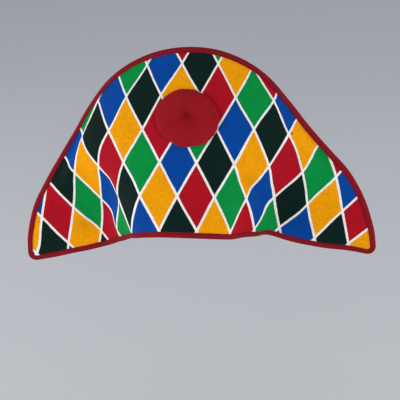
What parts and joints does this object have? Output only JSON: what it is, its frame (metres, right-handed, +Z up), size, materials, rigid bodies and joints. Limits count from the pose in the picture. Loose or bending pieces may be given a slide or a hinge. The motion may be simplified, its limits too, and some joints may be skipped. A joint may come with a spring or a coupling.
{
  "type": "diamond-patterned bicorne jester hat",
  "caption": "Soft two-cornered hat of diamond-patterned cloth with red bound edges, drooping wings and a gathered red rosette on the front.",
  "frame": {"origin": "middle of the head opening, level with the forehead hem", "axes": "+X towards the wearer's left wing, -Y towards the wearer's front where the rosette is, +Z up through the crown seam"},
  "size_m": [0.3932, 0.2022, 0.2402],
  "materials": {
    "printed_cloth": "matt brushed knit on thin foam, printed with orange, red, green, blue and black diamonds between white lines",
    "binding_tape": "matt folded tape, stitched on",
    "rosette_cloth": "matt, finely gathered"
  },
  "bodies": {
    "root": {"front_panel": "printed_cloth", "back_panel": "printed_cloth", "crown_seam_binding": "binding_tape", "front_hem_binding": "binding_tape", "back_hem_binding": "binding_tape", "rosette": "rosette_cloth"}
  },
  "joints": []
}
